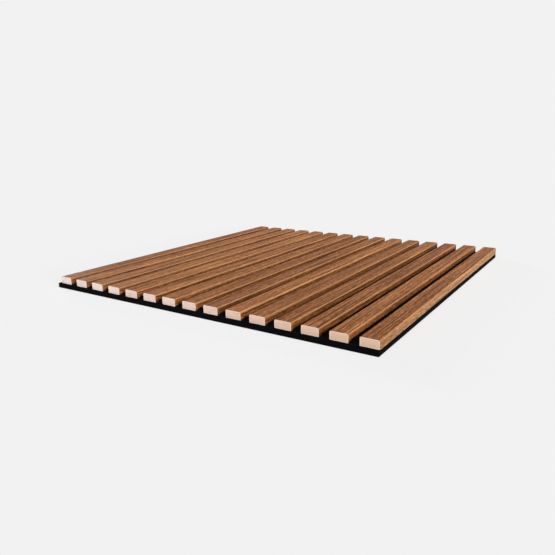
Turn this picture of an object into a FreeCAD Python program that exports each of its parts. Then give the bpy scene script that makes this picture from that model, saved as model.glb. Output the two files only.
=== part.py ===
import FreeCAD, Part
import math
import os

import Sketcher

# Acoustic slat wall panel, lying face up.
# Wooden slats run side by side on a sheet of felt. Each slat is a pale core bar with a veneer wrapped
# over its top and both long sides, and staples driven from the back hold it to the felt.
# X runs across the slats, Y along them with the near ends at -Y, and Z up from the back of the felt.
# The origin is the centre of the felt's back.

DRIVING_SIZES = {
    "felt_thickness": 8.0,
    "felt_length": 600.0,
    "felt_left_margin": 6.0,
    "felt_front_lip": 3.0,
    "slat_count": 15,
    "slat_width": 26.0,
    "slat_gap": 14.0,
    "slat_height": 12.0,
    "slat_edge_radius": 2.6,
    "veneer_thickness": 0.4,
    "staple_wire": 1.0,
    "staple_crown": 10.0,
    "staple_bite": 6.0,
    "staples_per_slat": 4,
    "staple_end_distance": 60.0,
}

# The last slat is flush with the felt's right edge, and all slats are flush with its far edge.
WORKED_OUT_SIZES = {
    "slat_pitch": "=slat_width + slat_gap",
    "felt_width": "=felt_left_margin + (slat_count - 1) * slat_pitch + slat_width",
    "slat_length": "=felt_length - felt_front_lip",
    "slat_far_end": "=felt_length / 2",
    "first_slat_middle": "=-felt_width / 2 + felt_left_margin + slat_width / 2",
    "core_width": "=slat_width - 2 * veneer_thickness",
    "core_height": "=slat_height - veneer_thickness",
    "core_edge_radius": "=slat_edge_radius - veneer_thickness",
    "staple_height": "=felt_thickness + staple_bite",
    "first_staple": "=slat_far_end - staple_end_distance",
    "staple_run": "=slat_length - 2 * staple_end_distance",
    "staple_row_width": "=(slat_count - 1) * slat_pitch",
}

START, END, CENTRE = range(1, 4)
ORIGIN = (-1, 1)


def make_sheet(doc):
    """The spreadsheet of named sizes that every feature reads."""
    sheet = doc.addObject("Spreadsheet::Sheet", "sizes")
    row = 1
    for name, value in {**DRIVING_SIZES, **WORKED_OUT_SIZES}.items():
        sheet.set(f"A{row}", name)
        sheet.set(f"B{row}", str(value))
        sheet.setAlias(f"B{row}", name)
        row += 1
    doc.recompute()
    return sheet


def new_body(doc, label):
    body = doc.addObject("PartDesign::Body", label)
    body.Label = label
    return body


def origin_feature(body, role):
    """One of the body's own origin planes or axes, such as XZ_Plane."""
    return next(feature for feature in body.Origin.OriginFeatures if feature.Role == role)


def new_sketch(body, plane):
    """An empty sketch on one of the body's own origin planes."""
    sketch = body.newObject("Sketcher::SketchObject", f"{body.Name}_section")
    sketch.AttachmentSupport = [(origin_feature(body, plane), "")]
    sketch.MapMode = "FlatFace"
    return sketch


def bind_constraint(sketch, name, constraint, expression):
    """Adds a named dimension to the sketch and ties it to the sheet."""
    index = sketch.addConstraint(constraint)
    sketch.renameConstraint(index, name)
    sketch.setExpression(f"Constraints.{name}", expression)


def new_pad(body, sketch, length, midplane=False):
    pad = body.newObject("PartDesign::Pad", f"{body.Name}_pad")
    pad.Profile = sketch
    pad.Midplane = midplane
    pad.setExpression("Length", length)
    sketch.Visibility = False
    body.Tip = pad
    return pad


def quarter_arc(middle, first, last):
    """The quarter circle about middle between two points, run anticlockwise as sketches keep their arcs."""
    radius = (first - middle).Length
    angles = [math.atan2(point.y - middle.y, point.x - middle.x) for point in (first, last)]
    anticlockwise = math.sin(angles[1] - angles[0]) > 0
    start = angles[0] if anticlockwise else angles[1]
    circle = Part.Circle(middle, FreeCAD.Vector(0, 0, 1), radius)
    return Part.ArcOfCircle(circle, start, start + math.pi / 2)


def chain(sketch, points, arcs):
    """A closed chain of lines and quarter arcs through the points.

    arcs maps the number of a stretch to its centre. Every other stretch, from one point to the next, is a
    line. Returns the numbers of the stretches' geometry.
    """
    made = []
    for number, start in enumerate(points):
        first = FreeCAD.Vector(*start, 0)
        last = FreeCAD.Vector(*points[(number + 1) % len(points)], 0)
        if number in arcs:
            stretch = quarter_arc(FreeCAD.Vector(*arcs[number], 0), first, last)
        else:
            stretch = Part.LineSegment(first, last)
        made.append(sketch.addGeometry(stretch, False))
    return made


def end_at(sketch, number, point):
    """Which end of a stretch lies at the point."""
    geometry = sketch.Geometry[number]
    place = FreeCAD.Vector(*point, 0)
    nearer_start = (geometry.StartPoint - place).Length < (geometry.EndPoint - place).Length
    return START if nearer_start else END


def join_chain(sketch, made, points, arcs):
    """Joins each stretch to the next, tangent wherever an arc is on either side."""
    for number, stretch in enumerate(made):
        after = (number + 1) % len(made)
        corner = points[after]
        ends = (stretch, end_at(sketch, stretch, corner), made[after], end_at(sketch, made[after], corner))
        smooth = number in arcs or after in arcs
        sketch.addConstraint(Sketcher.Constraint("Tangent" if smooth else "Coincident", *ends))


def make_core(doc, sheet, label):
    """A slat's pale core: a bar with slightly rounded upper edges, square below."""
    body = new_body(doc, label)
    sketch = new_sketch(body, "XZ_Plane")
    half, height, radius = sheet.core_width / 2, sheet.core_height, sheet.core_edge_radius
    points = [
        (-half, 0),
        (half, 0),
        (half, height - radius),
        (half - radius, height),
        (-half + radius, height),
        (-half, height - radius),
    ]
    arcs = {2: (half - radius, height - radius), 4: (-half + radius, height - radius)}
    bottom, right, right_arc, top, left_arc, left = made = chain(sketch, points, arcs)
    join_chain(sketch, made, points, arcs)
    for line in (bottom, top):
        sketch.addConstraint(Sketcher.Constraint("Horizontal", line))
    for line in (right, left):
        sketch.addConstraint(Sketcher.Constraint("Vertical", line))
    sketch.addConstraint(Sketcher.Constraint("Equal", right_arc, left_arc))
    sketch.addConstraint(Sketcher.Constraint("Symmetric", bottom, START, bottom, END, *ORIGIN))
    width = Sketcher.Constraint("DistanceX", bottom, START, bottom, END, 2 * half)
    bind_constraint(sketch, "width", width, "sizes.core_width")
    rise = Sketcher.Constraint("DistanceY", *ORIGIN, top, START, height)
    bind_constraint(sketch, "height", rise, "sizes.core_height")
    rounding = Sketcher.Constraint("Radius", right_arc, radius)
    bind_constraint(sketch, "round", rounding, "sizes.core_edge_radius")
    new_pad(body, sketch, "sizes.slat_length")
    return body


def make_veneer(doc, sheet, label):
    """A slat's veneer: one thin skin over the core's top and both long sides."""
    body = new_body(doc, label)
    sketch = new_sketch(body, "XZ_Plane")
    half, height, radius = sheet.slat_width / 2, sheet.slat_height, sheet.slat_edge_radius
    core_half, core_height, core_radius = sheet.core_width / 2, sheet.core_height, sheet.core_edge_radius
    straight = height - radius
    points = [
        (core_half, 0),
        (half, 0),
        (half, straight),
        (half - radius, height),
        (-half + radius, height),
        (-half, straight),
        (-half, 0),
        (-core_half, 0),
        (-core_half, straight),
        (-core_half + core_radius, core_height),
        (core_half - core_radius, core_height),
        (core_half, straight),
    ]
    right_middle = (half - radius, straight)
    left_middle = (-half + radius, straight)
    arcs = {2: right_middle, 4: left_middle, 8: left_middle, 10: right_middle}
    made = chain(sketch, points, arcs)
    join_chain(sketch, made, points, arcs)
    right_foot, right, right_arc, top, left_arc, left, left_foot = made[:7]
    core_left, core_left_arc, core_top, core_right_arc, core_right = made[7:]
    for line in (right_foot, top, left_foot, core_top):
        sketch.addConstraint(Sketcher.Constraint("Horizontal", line))
    for line in (right, left, core_left, core_right):
        sketch.addConstraint(Sketcher.Constraint("Vertical", line))
    for outer, inner in ((right_arc, core_right_arc), (left_arc, core_left_arc)):
        sketch.addConstraint(Sketcher.Constraint("Coincident", outer, CENTRE, inner, CENTRE))
    sketch.addConstraint(Sketcher.Constraint("Equal", right_arc, left_arc))
    left_corner = (left, end_at(sketch, left, points[6]))
    right_corner = (right, end_at(sketch, right, points[1]))
    sketch.addConstraint(Sketcher.Constraint("Symmetric", *left_corner, *right_corner, *ORIGIN))
    sketch.addConstraint(Sketcher.Constraint("Horizontal", *left_corner, *right_corner))
    width = Sketcher.Constraint("DistanceX", *left_corner, *right_corner, 2 * half)
    bind_constraint(sketch, "width", width, "sizes.slat_width")
    rise = Sketcher.Constraint("DistanceY", *ORIGIN, top, START, height)
    bind_constraint(sketch, "height", rise, "sizes.slat_height")
    rounding = Sketcher.Constraint("Radius", right_arc, radius)
    bind_constraint(sketch, "round", rounding, "sizes.slat_edge_radius")
    wall = Sketcher.Constraint("DistanceY", core_top, START, top, START, height - core_height)
    bind_constraint(sketch, "thickness", wall, "sizes.veneer_thickness")
    new_pad(body, sketch, "sizes.slat_length")
    return body


def make_staples(doc, sheet):
    """All staples as one group, in rows: a flat crown in the felt's back and two chisel-pointed legs."""
    body = new_body(doc, "staples")
    body.AllowCompound = True
    sketch = new_sketch(body, "XZ_Plane")
    half, wire, height = sheet.staple_crown / 2, sheet.staple_wire, sheet.staple_height
    points = [
        (-half, 0),
        (half, 0),
        (half, height),
        (half - wire, height - wire),
        (half - wire, wire),
        (-half + wire, wire),
        (-half + wire, height - wire),
        (-half, height),
    ]
    made = chain(sketch, points, {})
    join_chain(sketch, made, points, {})
    crown, right, right_tip, right_inner, crown_inner, left_inner, left_tip, left = made
    for line in (crown, crown_inner):
        sketch.addConstraint(Sketcher.Constraint("Horizontal", line))
    for line in (right, right_inner, left_inner, left):
        sketch.addConstraint(Sketcher.Constraint("Vertical", line))
    sketch.addConstraint(Sketcher.Constraint("Symmetric", crown, START, crown, END, *ORIGIN))
    sketch.addConstraint(Sketcher.Constraint("Equal", right, left))
    width = Sketcher.Constraint("DistanceX", crown, START, crown, END, 2 * half)
    bind_constraint(sketch, "crown", width, "sizes.staple_crown")
    leg = Sketcher.Constraint("DistanceY", right, START, right, END, height)
    bind_constraint(sketch, "leg", leg, "sizes.staple_height")
    crown_wire = Sketcher.Constraint("DistanceY", crown, START, crown_inner, START, wire)
    bind_constraint(sketch, "crown_wire", crown_wire, "sizes.staple_wire")
    for side, tip, low, high in (("right", right_tip, END, START), ("left", left_tip, START, END)):
        leg_wire = Sketcher.Constraint("DistanceX", tip, END, tip, START, wire)
        bind_constraint(sketch, f"{side}_leg_wire", leg_wire, "sizes.staple_wire")
        leg_point = Sketcher.Constraint("DistanceY", tip, low, tip, high, wire)
        bind_constraint(sketch, f"{side}_leg_point", leg_point, "sizes.staple_wire")
    pad = new_pad(body, sketch, "sizes.staple_wire", midplane=True)
    doc.recompute()
    pattern = body.newObject("PartDesign::MultiTransform", "staple_rows")
    along = body.newObject("PartDesign::LinearPattern", "staples_along_slats")
    across = body.newObject("PartDesign::LinearPattern", "staples_across_slats")
    along.Direction = (origin_feature(body, "Y_Axis"), [""])
    along.Reversed = True
    along.setExpression("Length", "sizes.staple_run")
    along.setExpression("Occurrences", "sizes.staples_per_slat")
    across.Direction = (origin_feature(body, "X_Axis"), [""])
    across.setExpression("Length", "sizes.staple_row_width")
    across.setExpression("Occurrences", "sizes.slat_count")
    pattern.Originals = [pad]
    pattern.Transformations = [along, across]
    body.Tip = pattern
    body.setExpression("Placement.Base.x", "sizes.first_slat_middle")
    body.setExpression("Placement.Base.y", "sizes.first_staple")
    doc.recompute()
    return body


def make_felt(doc, staples):
    """The felt backing: one sheet, with the staples' own holes pressed into it."""
    blank = doc.addObject("Part::Box", "felt_blank")
    blank.setExpression("Length", "sizes.felt_width")
    blank.setExpression("Width", "sizes.felt_length")
    blank.setExpression("Height", "sizes.felt_thickness")
    blank.setExpression("Placement.Base.x", "-sizes.felt_width / 2")
    blank.setExpression("Placement.Base.y", "-sizes.felt_length / 2")
    return cut_out(doc, blank, staples, "felt_backing")


def cut_out(doc, blank, tool, label):
    cut = doc.addObject("Part::Cut", label)
    cut.Label = label
    cut.Base = blank
    cut.Tool = tool
    return cut


def place_on_felt(body, number):
    """Puts a slat's piece on the felt, at its own place in the row."""
    body.setExpression("Placement.Base.x", f"sizes.first_slat_middle + {number} * sizes.slat_pitch")
    body.setExpression("Placement.Base.y", "sizes.slat_far_end")
    body.setExpression("Placement.Base.z", "sizes.felt_thickness")


def check_document(doc, pieces):
    """Stops the build if any feature failed or any piece isn't sound."""
    for item in doc.Objects:
        if {"Invalid", "Error"} & set(item.State):
            raise RuntimeError(f"{item.Label} failed: {item.State}")
        if item.TypeId == "Sketcher::SketchObject" and not item.FullyConstrained:
            raise RuntimeError(f"{item.Label} isn't fully constrained")
    for piece in pieces:
        shape = piece.Shape
        if shape.isNull() or not shape.isValid() or not shape.Solids:
            raise RuntimeError(f"{piece.Label} has no valid solid")


def main():
    doc = FreeCAD.newDocument("slat_panel")
    sheet = make_sheet(doc)
    staples = make_staples(doc, sheet)
    pieces = [staples, make_felt(doc, staples)]
    for number in range(int(sheet.slat_count)):
        name = f"slat_{number + 1:02d}"
        core_blank = make_core(doc, sheet, f"{name}_core_blank")
        veneer = make_veneer(doc, sheet, f"{name}_veneer")
        place_on_felt(core_blank, number)
        place_on_felt(veneer, number)
        pieces += [cut_out(doc, core_blank, staples, f"{name}_core"), veneer]
    doc.recompute()
    check_document(doc, pieces)
    os.makedirs("parts", exist_ok=True)
    for piece in pieces:
        piece.Shape.exportStep(f"parts/{piece.Label}.step")
        box = piece.Shape.BoundBox
        reach = (box.XMin, box.XMax, box.YMin, box.YMax, box.ZMin, box.ZMax)
        corners = " ".join(f"{value:.2f}" for value in reach)
        print(f"{piece.Label}: {len(piece.Shape.Solids)} solid, {piece.Shape.Volume:.0f} mm3, {corners}")


main()
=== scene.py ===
import math
import random

import bpy
from mathutils import Matrix, Vector, noise


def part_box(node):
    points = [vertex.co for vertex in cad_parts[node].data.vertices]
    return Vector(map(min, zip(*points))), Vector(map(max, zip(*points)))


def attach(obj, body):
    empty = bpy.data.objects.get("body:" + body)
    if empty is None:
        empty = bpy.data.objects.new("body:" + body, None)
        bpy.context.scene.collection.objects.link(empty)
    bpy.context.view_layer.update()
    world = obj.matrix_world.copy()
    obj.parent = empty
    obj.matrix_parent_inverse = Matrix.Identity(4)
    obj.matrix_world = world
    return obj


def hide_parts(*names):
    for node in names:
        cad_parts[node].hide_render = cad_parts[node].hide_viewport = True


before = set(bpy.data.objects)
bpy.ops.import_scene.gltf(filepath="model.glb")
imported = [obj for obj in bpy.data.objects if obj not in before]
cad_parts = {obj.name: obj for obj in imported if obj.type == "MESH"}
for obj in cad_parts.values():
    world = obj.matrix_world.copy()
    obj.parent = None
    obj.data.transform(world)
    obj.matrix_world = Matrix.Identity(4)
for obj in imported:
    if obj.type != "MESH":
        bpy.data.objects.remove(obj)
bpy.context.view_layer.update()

# All sizes are in metres, in the panel's own frame: X across the slats, Y along them, Z up.
MM = 0.001
FELT_LOW, FELT_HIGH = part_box("felt_backing")
VENEERS = sorted(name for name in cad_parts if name.endswith("_veneer"))
CORES = sorted(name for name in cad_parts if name.endswith("_core"))
SLATS = [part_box(name) for name in VENEERS]
SLAT_WIDTH = SLATS[0][1].x - SLATS[0][0].x
SLAT_HALF = SLAT_WIDTH / 2
SLAT_TOP = SLATS[0][1].z
PITCH = SLATS[1][0].x - SLATS[0][0].x
GAP = PITCH - SLAT_WIDTH

# The photograph's camera, worked out from the slats' corners in it.
PICTURE_SIDE = 555
FOCAL_PIXELS = 539.27
SENSOR_MM = 36.0
CAMERA_PLACE = Vector((0.5178, -0.8428, 0.2480))
CAMERA_FORWARD = Vector((-0.5340, 0.8064, -0.2541)).normalized()
CAMERA_ROLL = math.radians(-0.94)

# The studio: an even pale surround and four soft lamps. The key lamp on the right reaches most of the
# way down into the gaps, the low one lights the panel's right side and the slats' edges, the one
# overhead stands in line with the slats, and the weak one at the left lights their left sides and
# puts a faint sheen on their tops.
BACKGROUND = 0.888
AMBIENT = 0.12
LAMPS = {
    "key": (Vector((0.80, -0.33, 0.44)), 2.35),
    "low": (Vector((0.95, -0.30, 0.13)), 0.95),
    "overhead": (Vector((0.0, -0.62, 0.78)), 1.80),
    "sheen": (Vector((-0.86, 0.45, 0.18)), 0.80),
}
SOFT_ANGLE = math.radians(7)
FLOOR_COLOUR = 0.89
FLOOR_HALF = 3.0
FLOOR_DROP = 0.05 * MM
SHADOW_SHARE = 0.5
SHADOW_RADIUS = 0.46
BLEND_RADIUS = 0.64

# The materials' patterns: how many cells each has in a metre. The veneer's are given across its grain,
# along it and from one sheet to the next, the others along X, Y and Z.
VENEER_CELLS = {
    "wander": (30, 4, 1),
    "figure": (75, 2.2, 1),
    "streak": (620, 6, 1),
    "fibre": (1300, 70, 1),
    "pore": (900, 150, 1),
    "patch": (40, 9, 1),
}
CORE_CELLS = {
    "chips": (1400, 900, 2600),
    "hairs": (500, 500, 3800),
    "cloud": (90, 40, 160),
    "saw": (4200, 60, 120),
}
FELT_CELLS = {
    "stir": (260, 260, 260),
    "mat": (900, 900, 900),
    "strand": (620, 620, 620),
}
WIRE_CELLS = {
    "lines": (700, 9000, 9000),
    "dull": (900, 900, 900),
}

# The materials' colours. A list turns a pattern's value into a colour, from dark to pale.
HEARTWOOD = [
    (0.37, (0.080, 0.028, 0.010)),
    (0.47, (0.212, 0.073, 0.021)),
    (0.52, (0.318, 0.117, 0.036)),
    (0.62, (0.550, 0.240, 0.090)),
]
SAPWOOD = [
    (0.38, (0.190, 0.082, 0.032)),
    (0.50, (0.390, 0.195, 0.083)),
    (0.61, (0.620, 0.365, 0.185)),
]
# Painted sheen: a pale grey laid in patches over the tops, standing for their reflection.
PAINTED_SHEEN_GREY = (0.290, 0.135, 0.070)
# Painted shade: the deeper colour of the slats' sides in the gaps.
PAINTED_FLANK_SHADE = (0.190, 0.055, 0.008)
OPEN_PORE = (0.060, 0.021, 0.009)
# Wear and a painted highlight along the slats' rounded rims.
RIM_WEAR_AND_HIGHLIGHT = (0.58, 0.32, 0.165)
# Painted shade: near black at the bottom of the slats' sides in the gaps.
PAINTED_FOOT_SHADE = (0.020, 0.009, 0.005)
BOARD = [
    (0.38, (0.53, 0.395, 0.330)),
    (0.50, (0.73, 0.595, 0.535)),
    (0.60, (0.85, 0.735, 0.680)),
]
# Painted light: the browner colour the ends take on towards the panel's right, shown as less lit than the
# left.
TAN_BOARD = (0.57, 0.375, 0.255)
# Painted highlight: the paler border round each end face.
PAINTED_EDGE_HIGHLIGHT = (0.86, 0.74, 0.65)
BLACK_FELT = [
    (0.25, (0.0006, 0.0006, 0.0009)),
    (0.55, (0.0018, 0.0018, 0.0026)),
    (0.85, (0.0070, 0.0070, 0.0090)),
]
WIRE = [
    (0.35, (0.42, 0.43, 0.45)),
    (0.65, (0.68, 0.68, 0.68)),
]

# Where the Mix node keeps its two colours and its result when it blends colours.
MIX_COLOURS = (6, 7)
MIX_RESULT = 2


class Shader:
    """A material's node tree, with short calls for the nodes that this scene uses."""

    def __init__(self, name):
        self.material = bpy.data.materials.new(name)
        self.material.use_nodes = True
        self.nodes = self.material.node_tree.nodes
        self.links = self.material.node_tree.links
        self.surface = self.nodes["Principled BSDF"]
        self.output = self.nodes["Material Output"]

    def feed(self, socket, value):
        """Links a socket to another node's output, or sets it to a number or colour."""
        if isinstance(value, bpy.types.NodeSocket):
            self.links.new(value, socket)
        else:
            socket.default_value = value

    def add(self, kind, **settings):
        """A new shader node with these settings."""
        node = self.nodes.new("ShaderNode" + kind)
        for key, value in settings.items():
            setattr(node, key, value)
        return node

    def maths(self, operation, *values):
        node = self.add("Math", operation=operation)
        for socket, value in zip(node.inputs, values):
            self.feed(socket, value)
        return node.outputs[0]

    def weighted(self, *parts):
        """The sum of the parts, each given as (value, weight)."""
        products = [self.maths("MULTIPLY", value, weight) for value, weight in parts]
        total = products[0]
        for product in products[1:]:
            total = self.maths("ADD", total, product)
        return total

    def swing(self, value, width):
        """A value from 0 to 1 as a swing to both sides of nothing, this wide in all."""
        return self.maths("MULTIPLY", self.maths("SUBTRACT", value, 0.5), width)

    def where(self):
        """The place on the object."""
        return self.add("TexCoord").outputs["Object"]

    def place(self):
        """The place on the object, as three separate outputs."""
        split = self.add("SeparateXYZ")
        self.links.new(self.where(), split.inputs[0])
        return split.outputs

    def slat_and_across(self, x):
        """Which slat the place is on, counted from 0, and how far it is from the slat's middle line."""
        first_boundary = SLATS[0][0].x - GAP / 2
        cell = self.maths("DIVIDE", self.maths("SUBTRACT", x, first_boundary), PITCH)
        return self.maths("FLOOR", cell), self.swing(self.maths("FRACT", cell), PITCH)

    def point(self, x, y, z):
        node = self.add("CombineXYZ")
        for socket, value in zip(node.inputs, (x, y, z)):
            self.feed(socket, value)
        return node.outputs[0]

    def stretched(self, vector, cells):
        """The vector with each axis multiplied, so that a pattern on it has that many cells a metre."""
        node = self.add("VectorMath", operation="MULTIPLY")
        self.feed(node.inputs[0], vector)
        node.inputs[1].default_value = cells
        return node.outputs[0]

    def noise(self, vector, cells, detail=2.0, rough=0.5, warp=0.0):
        node = self.add("TexNoise")
        self.feed(node.inputs["Vector"], self.stretched(vector, cells))
        node.inputs["Scale"].default_value = 1.0
        node.inputs["Detail"].default_value = detail
        node.inputs["Roughness"].default_value = rough
        node.inputs["Distortion"].default_value = warp
        return node.outputs["Fac"]

    def strands(self, vector, cells, shift):
        """How far the place is from the nearest border between cells whose pattern is shifted."""
        node = self.add("TexVoronoi", feature="DISTANCE_TO_EDGE")
        node.inputs["Scale"].default_value = 1.0
        shifted = self.add("VectorMath", operation="ADD")
        self.feed(shifted.inputs[0], self.stretched(vector, cells))
        self.feed(shifted.inputs[1], shift)
        self.feed(node.inputs["Vector"], shifted.outputs[0])
        return node.outputs["Distance"]

    def random(self, value):
        """Three steady random numbers for each whole number that comes in."""
        node = self.add("TexWhiteNoise", noise_dimensions="1D")
        self.feed(node.inputs["W"], value)
        split = self.add("SeparateColor")
        self.links.new(node.outputs["Color"], split.inputs[0])
        return split.outputs

    def between(self, value, low, high, to_low=0.0, to_high=1.0):
        """The value's range low to high, spread smoothly over another range."""
        node = self.add("MapRange", interpolation_type="SMOOTHSTEP")
        for socket, number in zip(node.inputs, (value, low, high, to_low, to_high)):
            self.feed(socket, number)
        return node.outputs[0]

    def ramp(self, factor, stops):
        """A colour for each value, from a list of (value, colour)."""
        node = self.add("ValToRGB")
        elements = node.color_ramp.elements
        while len(elements) < len(stops):
            elements.new(1.0)
        for element, (position, colour) in zip(elements, stops):
            element.position = position
            element.color = (*colour, 1.0)
        self.feed(node.inputs[0], factor)
        return node.outputs[0]

    def blend(self, factor, first, second):
        """From the first colour at factor 0 to the second one at factor 1."""
        node = self.add("Mix", data_type="RGBA")
        self.feed(node.inputs["Factor"], factor)
        for index, value in zip(MIX_COLOURS, (first, second)):
            self.feed(node.inputs[index], value if isinstance(value, bpy.types.NodeSocket) else (*value, 1.0))
        return node.outputs[MIX_RESULT]

    def bump(self, height, strength, depth):
        node = self.add("Bump")
        node.inputs["Strength"].default_value = strength
        node.inputs["Distance"].default_value = depth
        self.feed(node.inputs["Height"], height)
        return node.outputs[0]

    def finish(self, colour, rough, normal, **plain):
        """Feeds the surface. What is the same all over goes straight onto its sockets."""
        self.feed(self.surface.inputs["Base Color"], colour)
        self.feed(self.surface.inputs["Roughness"], rough)
        self.feed(self.surface.inputs["Normal"], normal)
        for key, value in plain.items():
            self.surface.inputs[key.replace("_", " ")].default_value = value
        return self.material


# Materials


def veneer_material():
    """Oiled walnut veneer: wavy figure, fine streaks and open pores, all running along the slat and
    wrapped over its rounded edges, with a different sheet on each slat. Grey patches on it are painted
    sheen. In the gaps, painted shade makes the slats' sides deeper in colour and near black lowest
    down; the rounded rims carry wear and a painted highlight; and the panel's outer right side is pale
    sapwood."""
    sheet_length = 9.0
    sheet_step = 3.7
    wander_width = 4 * MM
    s = Shader("veneer")
    x, y, z = s.place()
    slat, across = s.slat_and_across(x)
    below = s.maths("SUBTRACT", SLAT_TOP, z)
    wrapped = s.maths("ADD", across, s.maths("MULTIPLY", s.maths("SIGN", across), below))
    sheet, tone, warmth = s.random(slat)
    along = s.maths("ADD", y, s.maths("MULTIPLY", sheet, sheet_length))
    apart = s.maths("MULTIPLY", slat, sheet_step)
    wander = s.noise(s.point(wrapped, along, apart), VENEER_CELLS["wander"], detail=1)
    grain = s.point(s.maths("ADD", wrapped, s.swing(wander, wander_width)), along, apart)
    figure = s.noise(grain, VENEER_CELLS["figure"], detail=3, rough=0.55)
    streak = s.noise(grain, VENEER_CELLS["streak"], detail=1, rough=0.6)
    fibre = s.noise(grain, VENEER_CELLS["fibre"], detail=1, rough=0.6)
    pore = s.noise(grain, VENEER_CELLS["pore"], detail=0)
    patch = s.noise(grain, VENEER_CELLS["patch"], detail=2)

    # The sheet's own tone, with painted sheen in grey patches, and sapwood on the panel's outer right side.
    level = s.maths("ADD", s.weighted((figure, 0.06), (streak, 0.50), (fibre, 0.44)), s.swing(tone, 0.08))
    colour = s.ramp(level, HEARTWOOD)
    # Painted sheen: grey patches, stronger on some sheets than on others.
    painted_sheen_amount = s.between(warmth, low=0.3, high=1.0, to_low=0.05, to_high=0.35)
    painted_sheen_patch = s.maths("MULTIPLY", s.between(patch, low=0.40, high=0.75), painted_sheen_amount)
    colour = s.blend(painted_sheen_patch, colour, PAINTED_SHEEN_GREY)
    outer = s.maths("GREATER_THAN", x, SLATS[-1][1].x - SLAT_HALF)
    inner = s.maths("SUBTRACT", 1.0, outer)
    sap_starts = s.between(patch, low=0.3, high=0.7, to_low=0.2 * MM, to_high=2.4 * MM)
    sap_full = s.maths("ADD", sap_starts, 1.0 * MM)
    sap = s.maths("MULTIPLY", s.between(below, sap_starts, sap_full, to_high=0.8), outer)
    colour = s.blend(sap, colour, s.ramp(level, SAPWOOD))

    # Painted shade deepening the slats' sides in the gaps, open pores, rims with wear and a painted
    # highlight, and painted shade darkening the sides lowest down in the gaps.
    flank_shade = s.maths("MULTIPLY", s.between(below, low=2.4 * MM, high=3.8 * MM, to_high=0.18), inner)
    colour = s.blend(flank_shade, colour, PAINTED_FLANK_SHADE)
    open_pore = s.between(pore, low=0.55, high=0.64)
    colour = s.blend(s.maths("MULTIPLY", open_pore, 0.50), colour, OPEN_PORE)
    # The rims: lighter from wear, and lighter still from a painted highlight.
    rim = s.between(s.maths("ABSOLUTE", across), low=SLAT_HALF - 1.8 * MM, high=SLAT_HALF - 0.8 * MM)
    rim = s.maths("MULTIPLY", rim, s.between(below, low=2.8 * MM, high=1.2 * MM))
    colour = s.blend(s.maths("MULTIPLY", rim, 0.40), colour, RIM_WEAR_AND_HIGHLIGHT)
    # Painted shade: the slats' sides turn near black lowest down in the gaps.
    foot_shade = s.maths("MULTIPLY", s.between(below, low=9.2 * MM, high=10.9 * MM, to_high=0.90), inner)
    colour = s.blend(foot_shade, colour, PAINTED_FOOT_SHADE)

    height = s.weighted((fibre, 0.5), (open_pore, -0.7), (streak, 0.4))
    rough = s.between(streak, low=0.3, high=0.7, to_low=0.62, to_high=0.46)
    normal = s.bump(height, strength=0.35, depth=0.12 * MM)
    return s.finish(colour, rough, normal, Specular_IOR_Level=0.04)


def core_material():
    """Sawn fibreboard: fine chips and hairs, a paler border round each end that is a painted highlight,
    faint marks of the saw, and boards that run from pale at the panel's left to brown at its right:
    painted light, with the left ends shown as lit more, and a little random tone from board to board."""
    s = Shader("core")
    where = s.where()
    x, _, z = s.place()
    slat, across = s.slat_and_across(x)
    chips = s.noise(where, CORE_CELLS["chips"], detail=3, rough=0.65)
    hairs = s.noise(where, CORE_CELLS["hairs"], detail=2, rough=0.5, warp=0.6)
    cloud = s.noise(where, CORE_CELLS["cloud"], detail=2)
    saw = s.noise(where, CORE_CELLS["saw"], detail=1)
    tone, warmth, _ = s.random(slat)
    level = s.maths("ADD", s.weighted((chips, 0.45), (hairs, 0.30), (cloud, 0.25)), s.swing(tone, 0.05))
    # Painted light: pale ends at the panel's left and browner ones at its right, with random tone added for
    # each board.
    painted_light_and_tone = s.between(x, low=SLATS[0][0].x, high=SLATS[-1][1].x, to_high=0.80)
    painted_light_and_tone = s.maths("ADD", painted_light_and_tone, s.maths("MULTIPLY", warmth, 0.12))
    colour = s.blend(painted_light_and_tone, s.ramp(level, BOARD), TAN_BOARD)

    # Painted highlight: a paler border round each end face, along its sides and along its top and bottom.
    middle = (SLAT_TOP + FELT_HIGH.z) / 2
    half_height = (SLAT_TOP - FELT_HIGH.z) / 2
    upright = s.maths("ABSOLUTE", s.maths("SUBTRACT", z, middle))
    side_border = s.between(s.maths("ABSOLUTE", across), low=SLAT_HALF - 2.0 * MM, high=SLAT_HALF - 0.8 * MM)
    level_border = s.between(upright, low=half_height - 1.8 * MM, high=half_height - 0.8 * MM)
    edge_highlight = s.maths("MAXIMUM", side_border, level_border)
    colour = s.blend(s.maths("MULTIPLY", edge_highlight, 0.40), colour, PAINTED_EDGE_HIGHLIGHT)

    normal = s.bump(s.weighted((chips, 0.6), (saw, 0.4)), strength=0.4, depth=0.10 * MM)
    rough = s.between(chips, low=0.3, high=0.7, to_low=0.9, to_high=0.72)
    return s.finish(colour, rough, normal, Specular_IOR_Level=0.25)


def felt_material(name, lift):
    """Pressed black felt: a mat of crossing fibres with pits between them. The lift makes the loose
    fibres on top a little paler than the mat."""
    s = Shader(name)
    where = s.where()
    stir = s.noise(where, FELT_CELLS["stir"], detail=2)
    mat = s.noise(where, FELT_CELLS["mat"], detail=4, rough=0.7, warp=1.5)
    bent = s.point(s.maths("MULTIPLY", stir, 3.0), s.maths("MULTIPLY", mat, 2.0), stir)
    strand = s.between(s.strands(where, FELT_CELLS["strand"], bent), low=0.12, high=0.02)
    level = s.weighted((mat, 0.65), (strand, 0.35))
    colour = s.ramp(level, [(value, [part * lift for part in shade]) for value, shade in BLACK_FELT])
    normal = s.bump(level, strength=0.8, depth=0.35 * MM)
    rough = s.between(mat, low=0.3, high=0.7, to_low=0.98, to_high=0.86)
    return s.finish(colour, rough, normal, Specular_IOR_Level=0.03)


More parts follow.
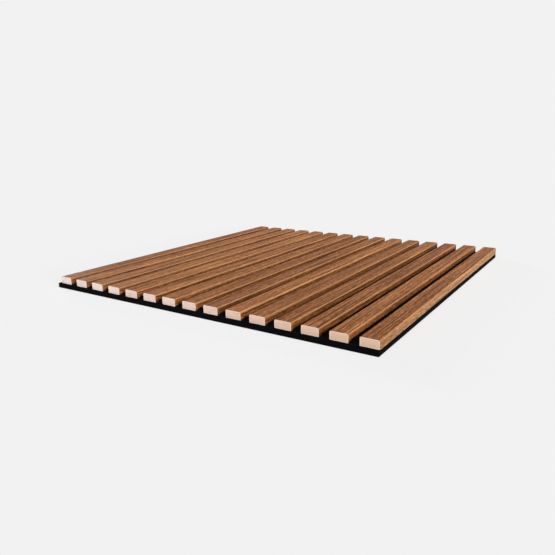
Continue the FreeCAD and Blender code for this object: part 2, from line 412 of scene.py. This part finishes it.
def staple_material():
    """Galvanised wire: bright grey with fine drawing lines and duller, slightly blue patches."""
    s = Shader("staple")
    where = s.where()
    lines = s.noise(where, WIRE_CELLS["lines"], detail=2)
    dull = s.noise(where, WIRE_CELLS["dull"], detail=3)
    colour = s.ramp(s.weighted((lines, 0.4), (dull, 0.6)), WIRE)
    normal = s.bump(lines, strength=0.3, depth=0.02 * MM)
    rough = s.between(dull, low=0.3, high=0.7, to_low=0.5, to_high=0.28)
    return s.finish(colour, rough, normal, Metallic=1.0)


def paint(node_names, material):
    """Gives CAD nodes a material, in every slot that they have."""
    for name in node_names:
        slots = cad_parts[name].data.materials
        for index in range(len(slots)):
            slots[index] = material


# Felt


def mesh_object(name, points, faces, material):
    mesh = bpy.data.meshes.new(name)
    mesh.from_pydata(points, [], faces)
    mesh.validate()
    mesh.polygons.foreach_set("use_smooth", [True] * len(mesh.polygons))
    mesh.materials.append(material)
    piece = bpy.data.objects.new(name, mesh)
    bpy.context.scene.collection.objects.link(piece)
    return piece


def felt_sheet(material):
    """The felt as it is cut: soft rounded rims, and faces that swell and dip a little. The back lies
    just under the staples' crowns, which are pressed into it."""
    cells = 150
    rim = 0.35 * MM
    rim_steps = 3
    side_shares = (0.3, 0.5, 0.7)
    swell = 0.12 * MM
    cut_swell = 0.04 * MM
    back_swell = 0.07 * MM
    swell_cells = 55.0
    cut_swell_cells = swell_cells * 4
    low, high = FELT_LOW, FELT_HIGH
    thick = high.z - low.z

    def surface(i, j, inset, height):
        x = low.x + inset + (high.x - low.x - 2 * inset) * i / cells
        y = low.y + inset + (high.y - low.y - 2 * inset) * j / cells
        push = noise.noise(Vector((x, y, height)) * swell_cells)
        edge_push = noise.noise(Vector((y, x, height)) * cut_swell_cells)
        inwards = cut_swell * (1 + edge_push) * (1 - inset / rim)
        x -= math.copysign(inwards, x) if i in (0, cells) else 0.0
        y -= math.copysign(inwards, y) if j in (0, cells) else 0.0
        lift = height / thick
        sunk = back_swell * (1 + push) if height == 0.0 else 0.0
        return (x, y, low.z + height + sunk - lift * swell * (1 + push))

    # The rings go up the cut side, from the back's rim over the side to the front's rim.
    quarter = [math.pi / 2 * step / rim_steps for step in range(rim_steps + 1)]
    lower = [(rim * (1 - math.sin(a)), rim * (1 - math.cos(a))) for a in quarter]
    upper = [(inset, thick - height) for inset, height in reversed(lower)]
    side = [(0.0, thick * share) for share in side_shares]
    rings = lower + side + upper

    edge = [(i, 0) for i in range(cells)] + [(cells, j) for j in range(cells)]
    edge += [(i, cells) for i in range(cells, 0, -1)] + [(0, j) for j in range(cells, 0, -1)]
    points = []
    faces = []
    index = {}
    for level, (inset, height) in ((0, rings[0]), (len(rings) - 1, rings[-1])):
        for i in range(cells + 1):
            for j in range(cells + 1):
                index[level, i, j] = len(points)
                points.append(surface(i, j, inset, height))
        for i in range(cells):
            for j in range(cells):
                corners = [index[level, i + a, j + b] for a, b in ((0, 0), (1, 0), (1, 1), (0, 1))]
                faces.append(corners if level else corners[::-1])
    for level, (inset, height) in enumerate(rings[1:-1], start=1):
        for i, j in edge:
            index[level, i, j] = len(points)
            points.append(surface(i, j, inset, height))
    for level in range(len(rings) - 1):
        for (i, j), (k, m) in zip(edge, edge[1:] + edge[:1]):
            lower_pair = [index[level, i, j], index[level, k, m]]
            upper_pair = [index[level + 1, k, m], index[level + 1, i, j]]
            faces.append(lower_pair + upper_pair)
    return mesh_object("felt_sheet", points, faces, material)


def fibres(name, material, patches, seed):
    """Loose fibres on the felt: thin curled ribbons that lie nearly flat. A patch is a corner, its two
    sides, its outward direction, how many fibres it has and how far they may reach past it."""
    draw = random.Random(seed)
    steps = 3
    half_width = 0.022 * MM
    taper = 0.7
    lengths_mm = (1.2, 3.6)
    rises_mm = (0.04, 0.32)
    most_bend = 1.6
    points = []
    faces = []
    for corner, first, second, outward, count, reach in patches:
        across, along = first.normalized(), second.normalized()
        for _ in range(count):
            length = draw.uniform(*lengths_mm) * MM
            heading = draw.uniform(0, 2 * math.pi)
            bend = draw.uniform(-most_bend, most_bend)
            rise = draw.uniform(*rises_mm) * MM
            u, v = draw.random() * first.length, draw.random() * second.length
            start = len(points)
            for step in range(steps + 1):
                share = step / steps
                sideways = across * -math.sin(heading) + along * math.cos(heading)
                u_here = min(max(u, -reach), first.length + reach)
                v_here = min(max(v, -reach), second.length + reach)
                height = rise * math.sin(math.pi * share)
                middle = corner + across * u_here + along * v_here + outward * height
                width = half_width * (1 - taper * share)
                points.append(middle - sideways * width)
                points.append(middle + sideways * width)
                u += math.cos(heading) * length / steps
                v += math.sin(heading) * length / steps
                heading += bend / steps
            for step in range(steps):
                a = start + 2 * step
                faces.append((a, a + 1, a + 3, a + 2))
    return mesh_object(name, points, faces, material)


def gap_patches():
    """The strips of felt seen between the slats, past the first one and in front of them all. The strip
    in front has more fibres for its size than the others."""
    clear = 0.25 * MM
    rooted = 0.1 * MM
    density = 0.16e6
    front_factor = 3
    up = Vector((0, 0, 1))
    top = FELT_HIGH.z - rooted
    near, far = FELT_LOW.y, FELT_HIGH.y
    edges = [(FELT_LOW.x, SLATS[0][0].x)]
    edges += [(left[1].x, right[0].x) for left, right in zip(SLATS, SLATS[1:])]
    patches = []
    for left, right in edges:
        corner = Vector((left + clear, near + clear, top))
        first = Vector((right - left - 2 * clear, 0, 0))
        second = Vector((0, far - near - 2 * clear, 0))
        count = int(first.length * second.length * density)
        patches.append((corner, first, second, up, count, 0.0))
    front = SLATS[0][0].y - near
    corner = Vector((FELT_LOW.x + clear, near + clear, top))
    first = Vector((FELT_HIGH.x - FELT_LOW.x - 2 * clear, 0, 0))
    second = Vector((0, front - 2 * clear, 0))
    count = int(first.length * second.length * density * front_factor)
    patches.append((corner, first, second, up, count, 0.0))
    return patches


def edge_patches():
    """The felt's four cut edges, where fibres also stand out past the rims."""
    density = 0.55e6
    reach = 0.25 * MM
    clear = 0.6 * MM
    rooted = 0.15 * MM
    low, high = FELT_LOW, FELT_HIGH
    upright = Vector((0, 0, high.z - low.z - 2 * clear))
    across = Vector((high.x - low.x, 0, 0))
    along = Vector((0, high.y - low.y, 0))
    starts = [
        (Vector((low.x, low.y + rooted, low.z + clear)), across, Vector((0, -1, 0))),
        (Vector((low.x, high.y - rooted, low.z + clear)), across, Vector((0, 1, 0))),
        (Vector((low.x + rooted, low.y, low.z + clear)), along, Vector((-1, 0, 0))),
        (Vector((high.x - rooted, low.y, low.z + clear)), along, Vector((1, 0, 0))),
    ]
    patches = []
    for corner, first, outward in starts:
        count = int(first.length * upright.length * density)
        patches.append((corner, first, upright, outward, count, reach))
    return patches


def dress_felt():
    """The felt's sheet, which stands for the plain solid, and the loose fibres on it."""
    sheet = felt_sheet(felt_material("felt", lift=1.0))
    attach(sheet, "root")
    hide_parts("felt_backing")
    loose = felt_material("felt_fibres", lift=1.6)
    for name, patches, seed in (
        ("felt_fibres_top", gap_patches(), 11),
        ("felt_fibres_edges", edge_patches(), 12),
    ):
        piece = fibres(name, loose, patches, seed)
        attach(piece, "root")


# Studio


def make_world():
    """Even light from all round. The camera, and what mirrors or shows the surround, see the pale
    background instead."""
    world = bpy.data.worlds.new("studio")
    bpy.context.scene.world = world
    world.use_nodes = True
    nodes, links = world.node_tree.nodes, world.node_tree.links
    light = nodes["Background"]
    light.inputs["Color"].default_value = (1, 1, 1, 1)
    light.inputs["Strength"].default_value = AMBIENT
    seen = nodes.new("ShaderNodeBackground")
    seen.inputs["Color"].default_value = (BACKGROUND, BACKGROUND, BACKGROUND, 1)
    choose = nodes.new("ShaderNodeMixShader")
    links.new(seen_directly(nodes, links), choose.inputs[0])
    links.new(light.outputs[0], choose.inputs[1])
    links.new(seen.outputs[0], choose.inputs[2])
    links.new(choose.outputs[0], nodes["World Output"].inputs["Surface"])


def seen_directly(nodes, links):
    """1 for what the camera sees, also by way of a mirror or through glass, otherwise 0."""
    path = nodes.new("ShaderNodeLightPath")
    total = path.outputs["Is Camera Ray"]
    for name in ("Is Glossy Ray", "Is Transmission Ray"):
        either = nodes.new("ShaderNodeMath")
        either.operation = "MAXIMUM"
        links.new(total, either.inputs[0])
        links.new(path.outputs[name], either.inputs[1])
        total = either.outputs[0]
    return total


def make_floor():
    """A plain pale floor that keeps the panel's shadow and turns into the background further out. From
    below it isn't there."""
    s = Shader("floor")
    x, y, _ = s.place()
    distance = s.maths("SQRT", s.maths("ADD", s.maths("MULTIPLY", x, x), s.maths("MULTIPLY", y, y)))
    far_off = s.between(distance, SHADOW_RADIUS, BLEND_RADIUS, to_low=1 - SHADOW_SHARE)
    lit = s.add("BsdfDiffuse")
    lit.inputs["Color"].default_value = (FLOOR_COLOUR, FLOOR_COLOUR, FLOOR_COLOUR, 1)
    pale = s.add("Emission")
    pale.inputs["Color"].default_value = (BACKGROUND, BACKGROUND, BACKGROUND, 1)
    clear = s.add("BsdfTransparent")
    blended = s.add("MixShader")
    s.feed(blended.inputs[0], s.maths("MULTIPLY", far_off, seen_directly(s.nodes, s.links)))
    s.feed(blended.inputs[1], lit.outputs[0])
    s.feed(blended.inputs[2], pale.outputs[0])
    one_sided = s.add("MixShader")
    s.feed(one_sided.inputs[0], s.add("NewGeometry").outputs["Backfacing"])
    s.feed(one_sided.inputs[1], blended.outputs[0])
    s.feed(one_sided.inputs[2], clear.outputs[0])
    s.links.new(one_sided.outputs[0], s.output.inputs["Surface"])
    half = FLOOR_HALF
    corners = [(-half, -half, 0), (half, -half, 0), (half, half, 0), (-half, half, 0)]
    floor = mesh_object("floor", corners, [(0, 1, 2, 3)], s.material)
    floor.location.z = FELT_LOW.z - FLOOR_DROP


def make_lamp(name, towards, strength):
    """A soft far lamp that stands in this direction from the panel."""
    lamp = bpy.data.lights.new(name, "SUN")
    lamp.energy = strength
    lamp.angle = SOFT_ANGLE
    holder = bpy.data.objects.new(name, lamp)
    holder.rotation_euler = towards.to_track_quat("Z", "Y").to_euler()
    bpy.context.scene.collection.objects.link(holder)


def make_camera():
    level_right = CAMERA_FORWARD.cross(Vector((0, 0, 1))).normalized()
    level_up = level_right.cross(CAMERA_FORWARD)
    right = level_right * math.cos(CAMERA_ROLL) + level_up * math.sin(CAMERA_ROLL)
    up = level_up * math.cos(CAMERA_ROLL) - level_right * math.sin(CAMERA_ROLL)
    data = bpy.data.cameras.new("camera")
    data.sensor_width = SENSOR_MM
    data.lens = FOCAL_PIXELS / PICTURE_SIDE * SENSOR_MM
    camera = bpy.data.objects.new("camera", data)
    turn = Matrix((right, up, -CAMERA_FORWARD)).transposed()
    camera.matrix_world = Matrix.Translation(CAMERA_PLACE) @ turn.to_4x4()
    bpy.context.scene.collection.objects.link(camera)
    bpy.context.scene.camera = camera


paint(VENEERS, veneer_material())
paint(CORES, core_material())
paint(["staples"], staple_material())
dress_felt()
make_world()
make_floor()
for lamp_name, (lamp_towards, lamp_strength) in LAMPS.items():
    make_lamp(lamp_name, lamp_towards, lamp_strength)
make_camera()
bpy.context.scene.view_settings.view_transform = "Standard"
